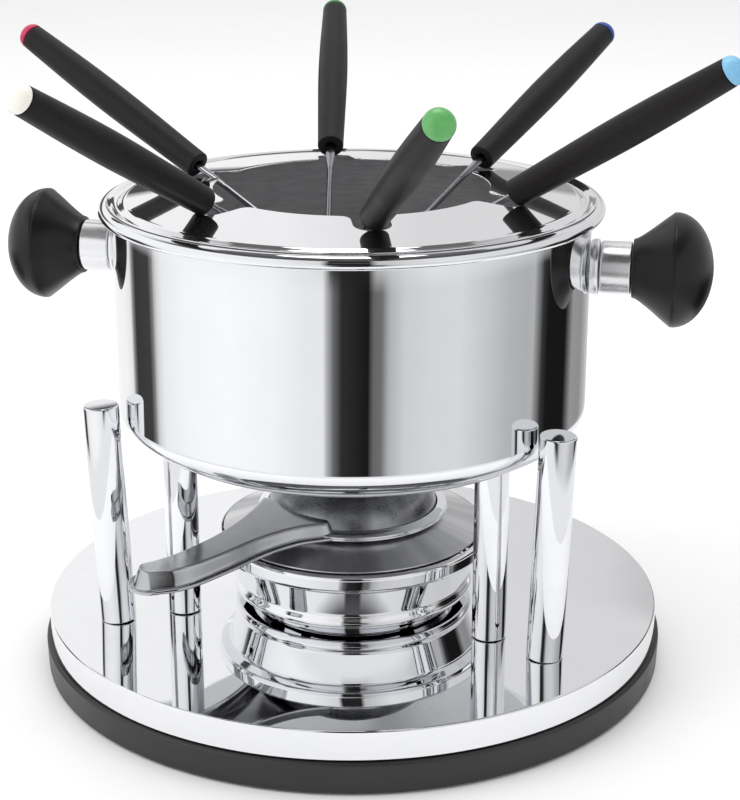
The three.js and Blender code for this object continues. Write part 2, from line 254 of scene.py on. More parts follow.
def aimed(point, axis):
    """A placement whose Z runs along an axis, with X level."""
    outward = Vector(axis).normalized()
    sideways = Vector((-outward.y, outward.x, 0))
    sideways = sideways.normalized() if sideways.length > 1e-6 else Vector((1, 0, 0))
    upward = outward.cross(sideways)
    turn = Matrix((sideways, upward, outward)).transposed().to_4x4()
    return Matrix.Translation(Vector(point)) @ turn


# ---------------------------------------------------------------- geometry nodes

def new_shape_tree(name, inputs):
    """An empty tree that gives out a shape, and the identifier of each of its named inputs."""
    tree = bpy.data.node_groups.new(name, "GeometryNodeTree")
    sockets = {}
    for label, kind in inputs.items():
        socket = tree.interface.new_socket(name=label, in_out="INPUT", socket_type="NodeSocket" + kind)
        sockets[label] = socket.identifier
    tree.interface.new_socket(name="Geometry", in_out="OUTPUT", socket_type="NodeSocketGeometry")
    return tree, sockets


def copies_about_axis_tree():
    """Repeats a shape about Z, Count times from First Angle, and welds neighbours that meet."""
    tree, sockets = new_shape_tree("copies about the axis", {
        "Geometry": "Geometry", "Count": "Int", "First Angle": "Float", "Weld": "Float",
        "Finish": "Material"})
    given = add_node(tree, "NodeGroupInput")
    seats = add_node(tree, "GeometryNodeMeshLine", links={"Count": given.outputs["Count"]})
    seats.inputs["Offset"].default_value = (0, 0, 0)
    index = add_node(tree, "GeometryNodeInputIndex")
    step = add_node(tree, "ShaderNodeMath", {"operation": "DIVIDE"}, {1: given.outputs["Count"]})
    step.inputs[0].default_value = 2 * math.pi
    turn = add_node(tree, "ShaderNodeMath", {"operation": "MULTIPLY_ADD"},
                    {0: index.outputs[0], 1: step.outputs[0], 2: given.outputs["First Angle"]})
    vector = add_node(tree, "ShaderNodeCombineXYZ", links={"Z": turn.outputs[0]})
    spread = add_node(tree, "GeometryNodeInstanceOnPoints", links={
        "Points": seats.outputs[0], "Instance": given.outputs["Geometry"], "Rotation": vector.outputs[0]})
    real = add_node(tree, "GeometryNodeRealizeInstances", links={0: spread.outputs[0]})
    weld = add_node(tree, "GeometryNodeMergeByDistance", links={
        "Geometry": real.outputs[0], "Distance": given.outputs["Weld"]})
    dress = add_node(tree, "GeometryNodeSetMaterial", links={
        "Geometry": weld.outputs[0], "Material": given.outputs["Finish"]})
    add_node(tree, "NodeGroupOutput", links={0: dress.outputs[0]})
    return tree, sockets


def woven_wire_tree():
    """Two sets of crossing wires that pass over and under each other, cut to a round disc."""
    tree, sockets = new_shape_tree("woven wire disc", {
        "Radius": "Float", "Pitch": "Float", "Wire": "Float", "Height": "Float", "Finish": "Material"})
    given = add_node(tree, "NodeGroupInput")

    def figure(operation, *values):
        node = add_node(tree, "ShaderNodeMath", {"operation": operation})
        for i, value in enumerate(values):
            if isinstance(value, (int, float)):
                node.inputs[i].default_value = value
            else:
                tree.links.new(value, node.inputs[i])
        return node.outputs[0]

    radius, pitch = given.outputs["Radius"], given.outputs["Pitch"]
    low = figure("MULTIPLY", radius, -1.0)
    count = figure("ADD", figure("FLOOR", figure("DIVIDE", figure("MULTIPLY", radius, 2.0), pitch)), 1.0)
    wires = []
    for across in (False, True):
        start = add_node(tree, "ShaderNodeCombineXYZ", links={"Y" if across else "X": low})
        end = add_node(tree, "ShaderNodeCombineXYZ", links={"Y" if across else "X": radius})
        first = add_node(tree, "ShaderNodeCombineXYZ", links={"X" if across else "Y": low})
        stride = add_node(tree, "ShaderNodeCombineXYZ", links={"X" if across else "Y": pitch})
        line = add_node(tree, "GeometryNodeCurvePrimitiveLine", links={
            "Start": start.outputs[0], "End": end.outputs[0]})
        fine = add_node(tree, "GeometryNodeResampleCurve", links={"Curve": line.outputs[0], "Count": 105})
        rows = add_node(tree, "GeometryNodeMeshLine", links={
            "Count": count, "Start Location": first.outputs[0], "Offset": stride.outputs[0]})
        laid = add_node(tree, "GeometryNodeInstanceOnPoints", links={
            "Points": rows.outputs[0], "Instance": fine.outputs[0]})
        real = add_node(tree, "GeometryNodeRealizeInstances", links={0: laid.outputs[0]})
        position = add_node(tree, "GeometryNodeInputPosition")
        axes = add_node(tree, "ShaderNodeSeparateXYZ", links={0: position.outputs[0]})
        waves = []
        for axis in ("X", "Y"):
            place = figure("DIVIDE", figure("SUBTRACT", axes.outputs[axis], low), pitch)
            waves.append(figure("COSINE", figure("MULTIPLY", place, math.pi)))
        wave = figure("MULTIPLY", figure("MULTIPLY", waves[0], waves[1]), -1.0 if across else 1.0)
        lift = figure("ADD", figure("MULTIPLY", wave, given.outputs["Wire"]), given.outputs["Height"])
        offset = add_node(tree, "ShaderNodeCombineXYZ", links={"Z": lift})
        woven = add_node(tree, "GeometryNodeSetPosition", links={
            "Geometry": real.outputs[0], "Offset": offset.outputs[0]})
        length = figure("SQRT", figure("ADD", figure("MULTIPLY", axes.outputs["X"], axes.outputs["X"]),
                                       figure("MULTIPLY", axes.outputs["Y"], axes.outputs["Y"])))
        outside = add_node(tree, "FunctionNodeCompare", {"data_type": "FLOAT", "operation": "GREATER_THAN"},
                           {0: length, 1: radius})
        trimmed = add_node(tree, "GeometryNodeDeleteGeometry", {"domain": "POINT"}, {
            "Geometry": woven.outputs[0], "Selection": outside.outputs[0]})
        section = add_node(tree, "GeometryNodeCurvePrimitiveCircle", links={
            "Radius": given.outputs["Wire"], "Resolution": 6})
        drawn = add_node(tree, "GeometryNodeCurveToMesh", links={
            "Curve": trimmed.outputs[0], "Profile Curve": section.outputs[0], "Fill Caps": True})
        wires.append(drawn.outputs[0])
    both = add_node(tree, "GeometryNodeJoinGeometry")
    for wire in wires:
        tree.links.new(wire, both.inputs[0])
    real = add_node(tree, "GeometryNodeRealizeInstances", links={0: both.outputs[0]})
    dress = add_node(tree, "GeometryNodeSetMaterial", links={
        "Geometry": real.outputs[0], "Material": given.outputs["Finish"]})
    add_node(tree, "NodeGroupOutput", links={0: dress.outputs[0]})
    return tree, sockets


def grown(piece, made_tree, settings):
    """Runs a node tree on a piece and gives the plain mesh that comes out, as the same piece."""
    tree, sockets = made_tree
    modifier = piece.modifiers.new("shape", "NODES")
    modifier.node_group = tree
    for label, value in settings.items():
        modifier[sockets[label]] = value
    bpy.context.view_layer.update()
    evaluated = piece.evaluated_get(bpy.context.evaluated_depsgraph_get())
    result = bpy.data.meshes.new_from_object(evaluated)
    piece.modifiers.clear()
    piece.data = result
    even_shading(result)
    return piece


# ---------------------------------------------------------------- finishes

def linear(code):
    """An sRGB hex colour as the linear values that a shader takes."""
    channels = [int(code[i:i + 2], 16) / 255 for i in (1, 3, 5)]
    return (*[c / 12.92 if c <= 0.04045 else ((c + 0.055) / 1.055) ** 2.4 for c in channels], 1.0)


def add_node(tree, kind, settings=None, links=None):
    """A node with its settings; links maps an input to the output or the value that feeds it."""
    node = tree.nodes.new(kind)
    for key, value in (settings or {}).items():
        setattr(node, key, value)
    for key, source in (links or {}).items():
        if isinstance(source, bpy.types.NodeSocket):
            tree.links.new(source, node.inputs[key])
        else:
            node.inputs[key].default_value = source
    return node


def new_finish(name, **sockets):
    """A material with its main shader, whose plain sockets are set here, and the piece's own coordinates."""
    material = bpy.data.materials.new(name)
    material.use_nodes = True
    tree = material.node_tree
    tree.nodes.clear()
    shader = add_node(tree, "ShaderNodeBsdfPrincipled")
    for key, value in sockets.items():
        shader.inputs[key.replace("_", " ")].default_value = value
    add_node(tree, "ShaderNodeOutputMaterial", links={"Surface": shader.outputs[0]})
    place = add_node(tree, "ShaderNodeTexCoord").outputs["Object"]
    return material, tree, shader, place


def grain(tree, place, size_mm, stretch=(1, 1, 1), detail=3.0):
    """Noise whose grains are size_mm across, drawn out along an axis where stretch is above one."""
    scale = tuple(1 / s for s in stretch)
    mapping = add_node(tree, "ShaderNodeMapping", links={"Vector": place, "Scale": scale})
    return add_node(tree, "ShaderNodeTexNoise", links={
        "Vector": mapping.outputs[0], "Scale": 1 / (size_mm * MM), "Detail": detail}).outputs[0]


def spread(tree, value, low, high):
    """Maps a pattern that runs around one half to a range."""
    return add_node(tree, "ShaderNodeMapRange", links={
        "Value": value, "From Min": 0.3, "From Max": 0.7, "To Min": low, "To Max": high}).outputs[0]


def blend_colour(tree, value, low, high):
    """A colour between two sRGB codes, by a pattern."""
    mix = add_node(tree, "ShaderNodeMix", {"data_type": "RGBA"}, {0: value})
    mix.inputs[6].default_value = linear(low)
    mix.inputs[7].default_value = linear(high)
    return mix.outputs[2]


def relief(tree, shader, height, depth_mm, strength=1.0):
    """Gives the shader a bump from a pattern, depth_mm deep."""
    bump = add_node(tree, "ShaderNodeBump", links={
        "Height": height, "Distance": depth_mm * MM, "Strength": strength})
    tree.links.new(bump.outputs[0], shader.inputs["Normal"])


def around_axis(tree, place, size_mm):
    """Coordinates for marks that run round the Z axis: radius and height only, as fine as size_mm."""
    axes = add_node(tree, "ShaderNodeSeparateXYZ", links={0: place})
    flat = add_node(tree, "ShaderNodeCombineXYZ", links={"X": axes.outputs["X"], "Y": axes.outputs["Y"]})
    length = add_node(tree, "ShaderNodeVectorMath", {"operation": "LENGTH"}, {0: flat.outputs[0]})
    radius = length.outputs["Value"]
    angle = add_node(tree, "ShaderNodeMath", {"operation": "ARCTAN2"},
                     {0: axes.outputs["Y"], 1: axes.outputs["X"]})
    slow = add_node(tree, "ShaderNodeMath", {"operation": "MULTIPLY"},
                    {0: angle.outputs[0], 1: size_mm * MM * 1.5})
    return radius, add_node(tree, "ShaderNodeCombineXYZ", links={
        "X": radius, "Y": axes.outputs["Z"], "Z": slow.outputs[0]}).outputs[0]


def polished_steel(name, tone, low, high, streak=(1, 1, 1)):
    """Stainless steel buffed on a wheel: clear reflections, with faint haze and hair lines.

    Where low and high, the limits of its roughness, are above 0.1, it gives the softer shine of a satin buff.
    """
    material, tree, shader, place = new_finish(name, Metallic=1.0)
    haze = grain(tree, place, 9.0)
    lines = grain(tree, place, 0.5, streak)
    both = add_node(tree, "ShaderNodeMath", {"operation": "MULTIPLY_ADD"}, {0: haze, 1: 0.6})
    tree.links.new(add_node(tree, "ShaderNodeMath", {"operation": "MULTIPLY"}, {0: lines, 1: 0.4}).outputs[0],
                   both.inputs[2])
    tree.links.new(spread(tree, both.outputs[0], low, high), shader.inputs["Roughness"])
    tree.links.new(blend_colour(tree, haze, tone[0], tone[1]), shader.inputs["Base Color"])
    relief(tree, shader, lines, 0.0006, 0.25)
    return material


def pot_steel():
    """Drawn stainless pot: mirror-buffed outside, and brushed round and round inside, where it looks dark."""
    material, tree, shader, place = new_finish("pot stainless mirror outside brushed inside", Metallic=1.0)
    radius, rings = around_axis(tree, place, 9.0)
    haze = grain(tree, place, 12.0)
    brushing = add_node(tree, "ShaderNodeTexNoise", links={
        "Vector": rings, "Scale": 1 / (1.5 * MM), "Detail": 4.0, "Roughness": 0.65}).outputs[0]
    corner = POT_CORNER * MM
    axes = add_node(tree, "ShaderNodeSeparateXYZ", links={0: place})
    out = add_node(tree, "ShaderNodeMath", {"operation": "SUBTRACT"},
                   {0: radius, 1: POT_RADIUS * MM - corner})
    down = add_node(tree, "ShaderNodeMath", {"operation": "SUBTRACT"},
                    {0: POT_BOTTOM * MM + corner, 1: axes.outputs["Z"]})
    out = add_node(tree, "ShaderNodeMath", {"operation": "MAXIMUM"}, {0: out.outputs[0], 1: 0.0})
    down = add_node(tree, "ShaderNodeMath", {"operation": "MAXIMUM"}, {0: down.outputs[0], 1: 0.0})
    offset = add_node(tree, "ShaderNodeCombineXYZ", links={"X": out.outputs[0], "Y": down.outputs[0]})
    depth = add_node(tree, "ShaderNodeVectorMath", {"operation": "LENGTH"}, {0: offset.outputs[0]})
    well = add_node(tree, "ShaderNodeMath", {"operation": "LESS_THAN"},
                    {0: depth.outputs["Value"], 1: corner - POT_SHEET * MM / 2})
    rough = add_node(tree, "ShaderNodeMix", {"data_type": "FLOAT"}, {0: well.outputs[0]})
    tree.links.new(spread(tree, haze, 0.02, 0.05), rough.inputs[2])
    tree.links.new(spread(tree, brushing, 0.42, 0.66), rough.inputs[3])
    tree.links.new(rough.outputs[0], shader.inputs["Roughness"])
    colour = add_node(tree, "ShaderNodeMix", {"data_type": "RGBA"}, {0: well.outputs[0]})
    tree.links.new(blend_colour(tree, haze, "#ebecef", "#f1f2f4"), colour.inputs[6])
    tree.links.new(blend_colour(tree, brushing, "#a4a5a8", "#ffffff"), colour.inputs[7])
    tree.links.new(colour.outputs[2], shader.inputs["Base Color"])
    marks = add_node(tree, "ShaderNodeMath", {"operation": "MULTIPLY"}, {0: brushing, 1: well.outputs[0]})
    relief(tree, shader, marks.outputs[0], 0.03, 0.5)
    return material


def satin_steel(name, dark, light, low, high, sheen=0.0):
    """Stainless pressing left with its brushed, satin surface: soft reflections and fine turned lines.

    The light that turned lines throw into wedges round the axis is painted into the tone as a painted sheen; sheen
    is its share of the tone.
    """
    material, tree, shader, place = new_finish(name, Metallic=1.0)
    rings = around_axis(tree, place, 4.0)[1]
    lines = add_node(tree, "ShaderNodeTexNoise", links={
        "Vector": rings, "Scale": 1 / (0.5 * MM), "Detail": 4.0}).outputs[0]
    flat = add_node(tree, "ShaderNodeVectorMath", {"operation": "MULTIPLY"}, {0: place, 1: (1, 1, 0)})
    outward = add_node(tree, "ShaderNodeVectorMath", {"operation": "NORMALIZE"}, {0: flat.outputs[0]})
    # painted sheen: wedges of lighter and darker tone round the axis stand in for reflected light
    painted_sheen_wedges = spread(tree, add_node(tree, "ShaderNodeTexNoise", links={
        "Vector": outward.outputs[0], "Scale": 2.6, "Detail": 3.0}).outputs[0], 0.0, 1.0)
    tone = add_node(tree, "ShaderNodeMix", {"data_type": "FLOAT"}, {0: sheen, 2: lines, 3: painted_sheen_wedges})
    tree.links.new(spread(tree, lines, low, high), shader.inputs["Roughness"])
    tree.links.new(blend_colour(tree, tone.outputs[0], dark, light), shader.inputs["Base Color"])
    relief(tree, shader, lines, 0.01, 0.12)
    return material


def moulding(name, dark, light, rough, grain_mm, depth_mm, **sockets):
    """Moulded plastic: a fine pebbled skin from the tool, with a soft sheen that varies a little."""
    material, tree, shader, place = new_finish(name, **sockets)
    pebbles = grain(tree, place, grain_mm, detail=2.0)
    patches = grain(tree, place, 14.0)
    tree.links.new(spread(tree, patches, rough - 0.05, rough + 0.05), shader.inputs["Roughness"])
    tree.links.new(blend_colour(tree, pebbles, dark, light), shader.inputs["Base Color"])
    relief(tree, shader, pebbles, depth_mm, 0.7)
    return material


def fibrous(name, dark, light, grain_mm, depth_mm, stretch=(1, 1, 1)):
    """Pressed or matted fibres: dry, rough and mottled."""
    material, tree, shader, place = new_finish(name)
    fibres = grain(tree, place, grain_mm, stretch, 6.0)
    tree.links.new(spread(tree, fibres, 0.85, 1.0), shader.inputs["Roughness"])
    tree.links.new(blend_colour(tree, fibres, dark, light), shader.inputs["Base Color"])
    relief(tree, shader, fibres, depth_mm)
    return material


FINISH = {
    "mirror_steel": polished_steel("mirror-polished stainless sheet", ("#edeef0", "#f3f3f5"), 0.015, 0.035),
    "post_steel": polished_steel("polished stainless bar", ("#e6e7ea", "#eeeff1"), 0.02, 0.05, (1, 1, 12)),
    "pot_steel": pot_steel(),
    "sleeve_steel": polished_steel(
        "fine-turned stainless sleeve", ("#e4e5e7", "#efeff1"), 0.2, 0.3, (8, 1, 8)),
    "lever_steel": polished_steel("buffed stainless pressing", ("#b0b1b4", "#c2c3c6"), 0.13, 0.21),
    "plain_steel": satin_steel("turned plain steel", "#b3b4b7", "#d2d3d5", 0.3, 0.5),
    "fork_steel": polished_steel("tumbled stainless fork", ("#96979b", "#adaeb2"), 0.11, 0.19),
    # cone and dome carry a painted sheen of light and dark wedges; the dome's dark tone is painted shade under the
    # pot
    "burner_steel": satin_steel("satin stainless pressing", "#96979a", "#f4f4f5", 0.3, 0.42, 0.8),
    "dome_steel": satin_steel("satin stainless dome darkened by painted shade", "#5f6063", "#b0b1b5", 0.24, 0.34, 0.8),
    "base_black": moulding("satin black ABS", "#1a1a1c", "#232325", 0.42, 0.6, 0.02),
    "anti_slip_rubber": moulding("black foam rubber", "#141414", "#262626", 0.85, 0.9, 0.12),
    "core_board": fibrous("pressed fibreboard", "#6d543a", "#94775a", 0.8, 0.1),
    "wadding": fibrous("white mineral wadding", "#cfcabd", "#efece4", 1.2, 0.6, (1, 3, 1)),
    "knob_black": moulding("smooth black phenolic", "#09090a", "#0f0f10", 0.34, 0.8, 0.004,
                           Specular_IOR_Level=0.36),
    "grip_black": moulding("pebbled black polypropylene", "#0f0d0d", "#242020", 0.46, 0.7, 0.06,
                           Specular_IOR_Level=0.2),
}
for label, dark, light in (("cap_green", "#58a259", "#66ae67"), ("cap_sky_blue", "#76b3da", "#85bee1"),
                           ("cap_navy", "#1b3a8c", "#234699"), ("cap_olive", "#2c6a34", "#35753c"),
                           ("cap_crimson", "#b51a4a", "#c22457"), ("cap_white", "#e9e6dd", "#f3f0e8")):
    FINISH[label] = moulding("moulded ABS " + label.replace("_", " "), dark, light, 0.3, 0.7, 0.006,
                             Subsurface_Weight=0.08, Subsurface_Scale=0.6 * MM)


# ---------------------------------------------------------------- base and posts

def build_base():
    """The drawn cover with its rounded edge, the black moulded plate under it and the pad it stands on."""
    inside, under = COVER_RADIUS - COVER_SHEET, COVER_TOP - COVER_SHEET
    cover = softened([
        (0, under), (inside, under, 1.4), (inside, COVER_BOTTOM, 0.3),
        (COVER_RADIUS, COVER_BOTTOM, 0.5), (COVER_RADIUS, COVER_TOP, 0.8), (0, COVER_TOP),
    ], steps=8)
    fit(make_piece("base_cover_polished", turned(cover, CROWN), FINISH["mirror_steel"]),
        "stand", "mirror_steel", "base_cover")
    rim = PLATE_RADIUS
    plate = softened([
        (0, 2.3), (112.3, 2.3, 0.3), (112.3, 0.6, 0.4), (rim - 0.4, 0.6, 1.4), (rim, PLATE_TOP, 1.1),
        (rim - 5.5, PLATE_TOP, 0.3), (rim - 5.5, 6.3, 0.3), (0, 6.3),
    ])
    fit(make_piece("base_plate_moulded", turned(plate, CROWN), FINISH["base_black"]),
        "stand", "base_black", "base_plate")
    pad = softened([(0, 0), (112, 0, 0.5), (112, 2, 0.3), (0, 2)])
    fit(make_piece("anti_slip_pad_foam", turned(pad, CROWN), FINISH["anti_slip_rubber"]),
        "stand", "anti_slip_rubber", "anti_slip_pad")


def post_shape(node, radius):
    """A polished rod with a softly broken edge, standing where the frame's post stands."""
    foot, head = end_centres(node, long_axis(node))
    length = np.linalg.norm(head - foot)
    profile = softened([(0, 0), (radius, 0, 0.5), (radius, length, 0.9), (0, length)], steps=6)
    verts, faces = turned(profile, 64)
    turn = np.array(aimed(foot, head - foot))
    return verts @ turn[:3, :3].T + turn[:3, 3], faces


def build_posts(about_axis):
    """Three pairs of posts: one of each kind is drawn, and the others are its copies about the axis."""
    for kind, radius in (("outer", 6.8), ("inner", 6.5)):
        shape = post_shape(f"{kind}_post_1", radius)
        first = make_piece(f"{kind}_posts_polished", shape, FINISH["post_steel"])
        posts = grown(first, about_axis, {"Count": 3, "Weld": 0.0, "Finish": FINISH["post_steel"]})
        fit(posts, "stand", "post_steel", *[f"{kind}_post_{i}" for i in (1, 2, 3)])


# ---------------------------------------------------------------- pot and handles

def build_pot():
    """The drawn body with its rolled rim, and the disc pressed on under it."""
    inside = POT_RADIUS - POT_SHEET
    rim_foot = BEAD_HEIGHT - 2.2
    well_floor = POT_BOTTOM + POT_SHEET
    profile = softened([
        (0, POT_BOTTOM), (POT_RADIUS, POT_BOTTOM, POT_CORNER), (POT_RADIUS, rim_foot, 0)], steps=16)
    profile += arc(BEAD_CENTRE, BEAD_HEIGHT, BEAD, -142, 118, 22)
    profile += flowing([(90.1, 183.4), (89.2, 182.0), (inside, 180.0)], 4)
    profile += softened([
        (inside, 178), (inside, well_floor, POT_CORNER - POT_SHEET), (0, well_floor)], steps=12)
    fit(make_piece("pot_body_drawn", turned(profile, 256), FINISH["pot_steel"]),
        "pot", "pot_steel", "pot_body")
    low, high = (v[2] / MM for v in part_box("pot_base_disc"))
    disc = softened([(0, low), (79, low, 1.2), (79, high, 0.2), (0, high)])
    fit(make_piece("pot_base_disc_turned", turned(disc, CROWN), FINISH["plain_steel"]),
        "pot", "plain_steel", "pot_base_disc")


def build_handle(side):
    """Boss, sleeve and stud in polished steel, and the smooth mushroom knob with its parting line."""
    axis = frame_points(f"{side}_handle_sleeve").mean(0) * (1, 1, 0)
    place = aimed((0, 0, 161), axis)
    bore = 2.9
    boss = softened([
        (bore, 90.3, 0), (9.9, 90.3, 0.2), (10.3, 91.4, 0.4), (10.5, 92.2, 0.4), (10.3, 93.5, 0.6),
        (bore, 93.5, 0)], 0.2)
    sleeve = softened([(bore, 93.8, 0), (9.8, 93.8, 0.9), (9.8, 105.4, 0.7), (bore, 105.4, 0)], 0.2)
    stud = softened([(0, 90.7), (2.5, 90.7, 0.4), (2.5, 120.8, 0.5), (0, 120.8)])
    neck = 105.7
    skirt = flowing([(11.2, neck + 1.2), (12.4, neck + 3.2), (15.2, neck + 7.0), (18.6, neck + 11.2),
                     (20.9, neck + 14.2)], 8)
    dome = [(21.3 * math.cos(a), 120.8 + 14.5 * math.sin(a)) for a in np.radians(np.linspace(3, 90, 30))]
    dome[-1] = (0, 135.3)
    seam = [(21.25, 120.3), (21.3, 120.6), (21.12, 120.75), (21.12, 120.95), (21.3, 121.1)]
    knob = [(0, 121.1), (bore, 121.1), (bore, neck), (10.6, neck), (11.0, neck + 0.3)] + skirt + seam + dome
    for part, profile, finish, slot in (
            ("boss", boss, "sleeve_steel", "post_steel"), ("sleeve", sleeve, "sleeve_steel", "post_steel"),
            ("stud", stud, "plain_steel", "plain_steel"), ("knob", knob, "knob_black", "knob_black")):
        node = f"{side}_handle_{part}"
        fit(make_piece(f"{node}_finished", turned(profile, 96), FINISH[finish], place), "pot", slot, node)


# ---------------------------------------------------------------- fork ring

FLAT_END = 84.2  # radius where the cone turns down into the gutter
EDGE_CURVE = flowing([
    (FLAT_END, RING_CREST - FLAT_END * RING_SLOPE), (85.4, RING_CREST - 85.4 * RING_SLOPE), (86.6, 184.0),
    (87.7, 183.3), (88.8, 183.5), (90.0, 184.35), (91.2, 184.98)], 8)


def ring_height(radius):
    """Height of the ring's top face: a shallow cone, a gutter near its edge and a lip over the pot's rim."""
    if radius < EDGE_CURVE[0][0]:
        return RING_CREST - radius * RING_SLOPE
    return float(np.interp(radius, [r for r, _ in EDGE_CURVE], [z for _, z in EDGE_CURVE]))


def opening_sector():
    """One sixth of the opening's edge: a round-ended notch, its rounded mouths and a stretch of circle."""
    across = NOTCH_HALF + NOTCH_FILLET
    along = math.sqrt((RING_OPENING + NOTCH_FILLET) ** 2 - across**2)
    mouth = math.degrees(math.asin(across / (RING_OPENING + NOTCH_FILLET)))
    reach = 180 / NOTCHES
    points = arc(0, 0, RING_OPENING, -reach, -mouth, 14)
    points += arc(along, -across, NOTCH_FILLET, 180 - mouth, 90, 10)[1:]
    points += arc(NOTCH_END, 0, NOTCH_HALF, -90, 90, 24)
    points += arc(along, across, NOTCH_FILLET, -90, mouth - 180, 10)
    points += arc(0, 0, RING_OPENING, mouth, reach, 14)[1:]
    return points


def build_ring(about_axis):
    """One sector of the ring, from the opening's edge to the lip, repeated six times and welded."""
    half, edge = RING_SHEET / 2, 0.4
    outer = [77.0, 80.0, 82.5, *[r for r, _ in EDGE_CURVE]]
    loops = []
    for x, y in opening_sector():
        start = math.hypot(x, y)
        angle = math.atan2(y, x)
        radii = list(np.linspace(start, 77.0, 9))[:-1] + outer
        top = [(r, ring_height(r)) for r in radii]
        rim_in, rim_out = top[0], top[-1]
        loop = [(rim_in[0] - edge * math.sin(a), rim_in[1] - half + half * math.cos(a))
                for a in np.radians((135, 90, 45))]
        loop += top
        loop += [(rim_out[0] + edge * math.sin(a), rim_out[1] - half + half * math.cos(a))
                 for a in np.radians((45, 90, 135))]
        loop += [(r, z - RING_SHEET) for r, z in reversed(top)]
        loops.append([(r * math.cos(angle), r * math.sin(angle), z) for r, z in loop])
    verts, faces = grid_loops(loops, capped=True)
    sector = make_piece("fork_ring_polished", (verts, faces[:-2]), FINISH["mirror_steel"])
    ring = grown(sector, about_axis, {
        "Count": NOTCHES, "First Angle": math.radians(NOTCH_START), "Weld": 0.01 * MM,
        "Finish": FINISH["mirror_steel"]})
    fit(ring, "ring", "mirror_steel", "fork_ring")


# ---------------------------------------------------------------- forks

def tine_head():
    """The fork's head: two flat prongs with sharp, barbed tips, cut from sheet and rounded at the edges."""
    outline = softened([
        (-1.1, -4, 0), (-1.4, -2, 2), (-3.4, 4, 3), (-3.4, 24.5, 0.3), (-4.3, 26.2, 0.2), (-2.3, 30, 0.1),
        (-1.9, 24, 0.3), (-1.7, 8.5, 1.6), (0, 6.4, 1.4), (1.7, 8.5, 1.6), (1.9, 24, 0.3), (2.3, 30, 0.1),
        (4.3, 26.2, 0.2), (3.4, 24.5, 0.3), (3.4, 4, 3), (1.4, -2, 2), (1.1, -4, 0)], steps=4)
    base = np.array(outline)
    rows = []
    for inset, level in ((0.25, -0.8), (0.06, -0.62), (0.0, -0.35), (0.0, 0.35), (0.06, 0.62), (0.25, 0.8)):
        tangent = np.roll(base, -1, 0) - np.roll(base, 1, 0)
        normal = np.stack([tangent[:, 1], -tangent[:, 0]], 1)
        normal /= np.linalg.norm(normal, axis=1)[:, None]
        shifted = base + normal * inset * signed_turn(base)
        rows.append([(x, level, -TINE_REACH - z) for x, z in shifted])
    return grid_loops(rows, capped=True)


def signed_turn(outline):
    """Which way an outline runs: 1 when its normals, as drawn in tine_head(), point inwards."""
    x, y = outline[:, 0], outline[:, 1]
    return 1.0 if (x * np.roll(y, -1) - y * np.roll(x, -1)).sum() < 0 else -1.0


def fork_shaft():
    """A round wire shaft that flattens into the tang where it enters the handle."""
    stations = [(-118.0, 1.1, 1.1), (-20.0, 1.15, 1.15), (-15.0, 1.2, 1.2), (-9.0, 1.55, 1.1),
                (-4.0, 1.8, 1.0), (3.0, 1.8, 1.0), (24.0, 1.4, 1.0)]
    loops = []
    for z, wide, thick in flowing(stations, 4):
        angles = np.arange(24) * 2 * math.pi / 24
        loops.append([(wide * math.cos(a), thick * math.sin(a), z) for a in angles])
    return grid_loops(loops, capped=True)


def build_fork(number):
    """Shaft and tines, the bellied black handle with a recess at its foot, and the coloured domed cap."""
    name = f"fork_{number}"
    body = next(j for j in frame["joints"] if j["child"] == name)
    axis = np.array(body["axis"], float)
    axis /= np.linalg.norm(axis)
    foot = end_centres(name + "_handle", axis)[0]
    place = aimed(foot, axis)
    grip = [(0, 31), (1.9, 31), (1.9, 0.8), (2.15, 0.2), (3.0, 0.0), (4.8, 0.0)]
    grip += arc(GRIP_FOOT, 0.5, 0.5, -80, -8, 5)
    grip += flowing([
        (5.28, 1.4), (5.4, 8), (5.78, 24), (6.12, 40), (6.2, 53), (6.0, 68), (5.6, 82), (5.2, 94.2)], 7)
    grip += [(5.12, 94.85), (4.95, GRIP_LENGTH), (0, GRIP_LENGTH)]
    low = GRIP_LENGTH + CAP_FIT
    cap = [(0, low), (4.95, low), (5.12, low + 0.12), (CAP_RADIUS, low + 0.4)]
    cap += [(CAP_RADIUS * math.cos(a), low + 0.4 + CAP_RISE * math.sin(a))
            for a in np.radians(np.linspace(6, 90, 16))]
    cap[-1] = (0, cap[-1][1])
    slot = next(s["material_slot"] for s in frame["record"]["subparts"] if s["node"] == name + "_cap")
    parts = (("shaft", joined(fork_shaft(), tine_head()), "fork_steel"),
             ("handle", turned(grip, 56), "grip_black"), ("cap", turned(cap, 56), slot))
    for part, shape, finish in parts:
        node = f"{name}_{part}"
        fit(make_piece(node + "_finished", shape, FINISH[finish], place), name, finish, node)


# ---------------------------------------------------------------- burner

